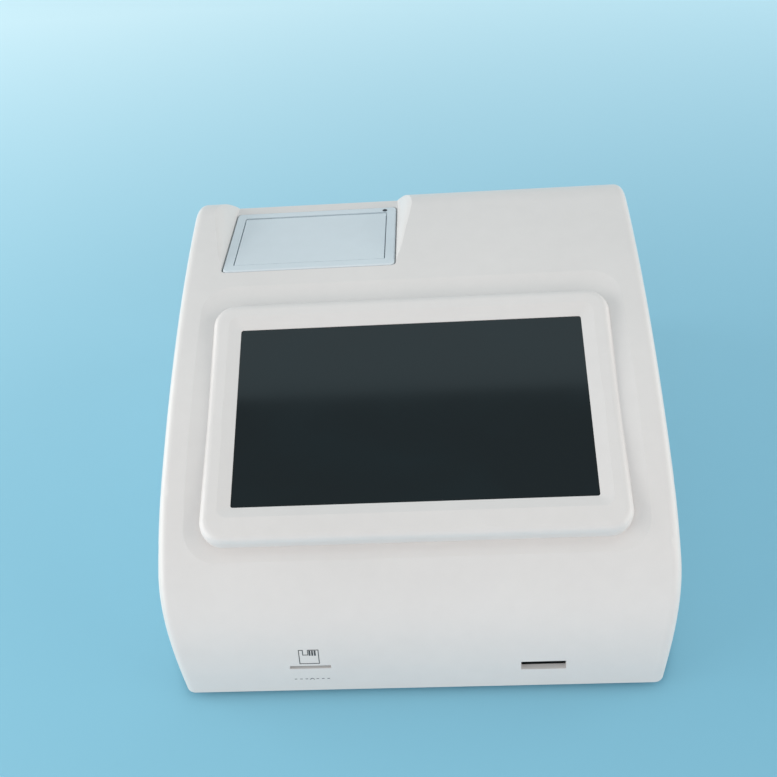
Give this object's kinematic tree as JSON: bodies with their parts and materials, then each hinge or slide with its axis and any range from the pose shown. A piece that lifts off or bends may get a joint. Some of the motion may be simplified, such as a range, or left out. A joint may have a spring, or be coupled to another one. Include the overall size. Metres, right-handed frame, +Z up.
{
  "type": "rapid test reader",
  "caption": "Bench-top rapid test reader with a wedge-shaped moulded housing, tilted touch display in a raised bezel, panel printer, test-card slot with scanning carrier and chip-card slot.",
  "frame": {"origin": "on the table, midway across and along the housing", "axes": "+X to the right seen from the front, +Y to the rear, +Z up"},
  "size_m": [0.241, 0.26, 0.1148],
  "materials": {
    "housing_plastic": "moulded, fine matt texture",
    "base_plastic": "moulded, matt",
    "printer_plastic": "moulded, matt",
    "display_glass": "smooth, dark",
    "lcd_plastic": "dark",
    "sheet_steel": "zinc plated sheet",
    "screw_steel": "plated",
    "shaft_steel": "ground",
    "rubber": "matt black",
    "board": "green solder mask",
    "black_plastic": "moulded black",
    "grey_plastic": "moulded grey",
    "ribbon_plastic": "amber film",
    "optics_metal": "black anodised",
    "lens_glass": "polished",
    "lamp_glass": "clear",
    "gear_plastic": "natural",
    "brass": "machined",
    "head_ceramic": "glazed strip on a ceramic plate",
    "paper": "thermal paper",
    "core_plastic": "moulded",
    "panel_paint": "powder coated",
    "rocker_plastic": "polished black",
    "shell_metal": "plated shell"
  },
  "bodies": {
    "housing": {"top_cover": "housing_plastic", "base_cover": "base_plastic", "rubber_feet": "rubber", "housing_screws": "screw_steel", "display_glass": "display_glass", "lcd_module": "lcd_plastic", "display_bracket": "sheet_steel", "display_screws": "screw_steel", "display_ribbon": "ribbon_plastic", "main_board": "board", "board_screws": "screw_steel", "board_components": "black_plastic", "id_card_socket": "black_plastic", "buzzer": "black_plastic", "reader_chassis": "grey_plastic", "guide_rods": "shaft_steel", "carrier_motor": "shell_metal", "home_sensor": "black_plastic", "optical_head": "optics_metal", "objective_lens": "lens_glass", "excitation_lamp": "lamp_glass", "photo_sensor": "black_plastic", "printer_frame": "printer_plastic", "door_hinge_pin": "shaft_steel", "printer_motor": "shell_metal", "printer_chassis": "sheet_steel", "print_head": "head_ceramic", "head_springs": "screw_steel", "paper_lamp": "lamp_glass", "rear_panel": "panel_paint", "panel_screws": "screw_steel", "power_inlet": "black_plastic", "switch_frame": "black_plastic", "usb_ports": "shell_metal", "lan_port": "shell_metal", "serial_port": "shell_metal", "serial_nuts": "brass"},
    "card_carrier": {"card_carrier": "black_plastic"},
    "lead_screw": {"lead_screw": "shaft_steel"},
    "printer_door": {"printer_door": "printer_plastic"},
    "platen": {"platen_roller": "rubber", "platen_gear": "gear_plastic"},
    "idler": {"idler_gear": "gear_plastic"},
    "pinion": {"motor_pinion": "brass"},
    "paper_roll": {"paper_roll": "paper", "paper_core": "core_plastic"},
    "power_rocker": {"power_rocker": "rocker_plastic"}
  },
  "joints": [
    {"name": "card_carrier_slide", "type": "slide", "parent": "housing", "child": "card_carrier", "axis": [0, 1, 0], "range_m": [0, 0.06]},
    {"name": "lead_screw_spin", "type": "hinge", "parent": "housing", "child": "lead_screw", "pos_m": [0.0833, 0, 0.0179], "axis": [0, 1, 0], "continuous": true},
    {"name": "printer_door_hinge", "type": "hinge", "parent": "housing", "child": "printer_door", "pos_m": [-0.0534, 0.1106, 0.10129], "axis": [-1, 0, 0], "range_deg": [0, 95]},
    {"name": "platen_spin", "type": "hinge", "parent": "printer_door", "child": "platen", "pos_m": [-0.0534, 0.0665, 0.10131], "axis": [1, 0, 0], "continuous": true},
    {"name": "idler_spin", "type": "hinge", "parent": "housing", "child": "idler", "pos_m": [-0.0534, 0.06726, 0.08808], "axis": [1, 0, 0], "continuous": true},
    {"name": "pinion_spin", "type": "hinge", "parent": "housing", "child": "pinion", "pos_m": [-0.0534, 0.06238, 0.07618], "axis": [1, 0, 0], "continuous": true},
    {"name": "paper_roll_spin", "type": "hinge", "parent": "housing", "child": "paper_roll", "pos_m": [-0.0534, 0.09036, 0.08077], "axis": [1, 0, 0], "continuous": true},
    {"name": "power_rocker_tilt", "type": "hinge", "parent": "housing", "child": "power_rocker", "pos_m": [-0.047, 0.1229, 0.03], "axis": [0, 0, -1], "range_deg": [0, 16]}
  ],
  "couplings": [
    {"joint": "lead_screw_spin", "follows": "card_carrier_slide", "rad_per_m": 785.4},
    {"joint": "idler_spin", "follows": "platen_spin", "ratio": -0.5},
    {"joint": "pinion_spin", "follows": "platen_spin", "ratio": 1.1}
  ]
}
